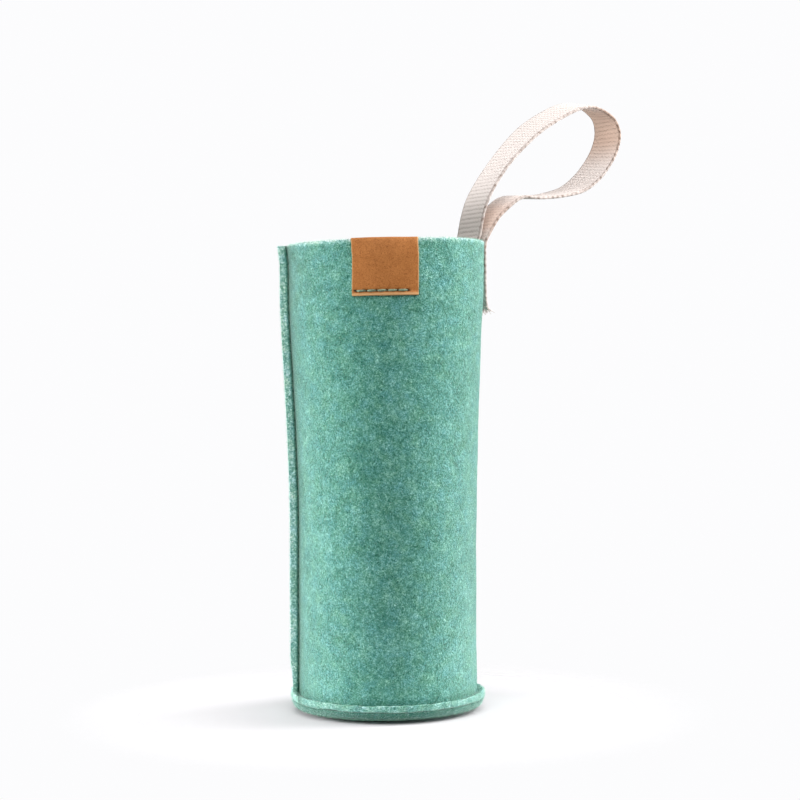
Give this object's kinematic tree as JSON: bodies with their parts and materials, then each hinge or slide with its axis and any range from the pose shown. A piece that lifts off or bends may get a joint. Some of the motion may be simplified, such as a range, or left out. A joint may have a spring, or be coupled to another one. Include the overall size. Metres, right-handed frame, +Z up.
{
  "type": "felt bottle sleeve",
  "caption": "Soft open-topped wool-felt sleeve for a bottle, with an outside side seam, a sewn round base, a folded tab label and a webbing carry loop.",
  "frame": {"origin": "centre of the base's resting face, on the floor", "axes": "+Z up along the bottle's axis; -Y is the front, where the label hangs; -X is the side seam; the strap stands beside +X"},
  "size_m": [0.1612, 0.1133, 0.2789],
  "materials": {
    "green_felt": "fuzzy heathered mint-green wool felt, 3 mm thick",
    "seam_thread": "grey-green twisted sewing thread",
    "tan_label": "matt tan leather-like sheet with a fine grain",
    "cream_webbing": "cream cotton webbing with cross ribs and corded edges"
  },
  "bodies": {
    "sleeve": {"felt_panel": "green_felt", "felt_base": "green_felt", "tab_label": "tan_label", "strap_tail_inner": "cream_webbing", "strap_tail_outer": "cream_webbing", "side_seam_needle_thread": "seam_thread", "side_seam_bobbin_thread": "seam_thread", "base_seam_needle_thread": "seam_thread", "base_seam_bobbin_thread": "seam_thread", "label_seam_needle_thread": "seam_thread", "label_seam_bobbin_thread": "seam_thread", "strap_lower_seam_needle_thread": "seam_thread", "strap_lower_seam_bobbin_thread": "seam_thread", "strap_upper_seam_needle_thread": "seam_thread", "strap_upper_seam_bobbin_thread": "seam_thread"},
    "loop": {"strap_loop": "cream_webbing"}
  },
  "joints": [
    {"name": "loop_bend", "type": "hinge", "parent": "sleeve", "child": "loop", "pos_m": [0.03627, 0.01018, 0.20905], "axis": [-0.5878, 0.809, 0], "range_deg": [-100, 30], "stiffness_Nm_per_rad": 0.035}
  ]
}
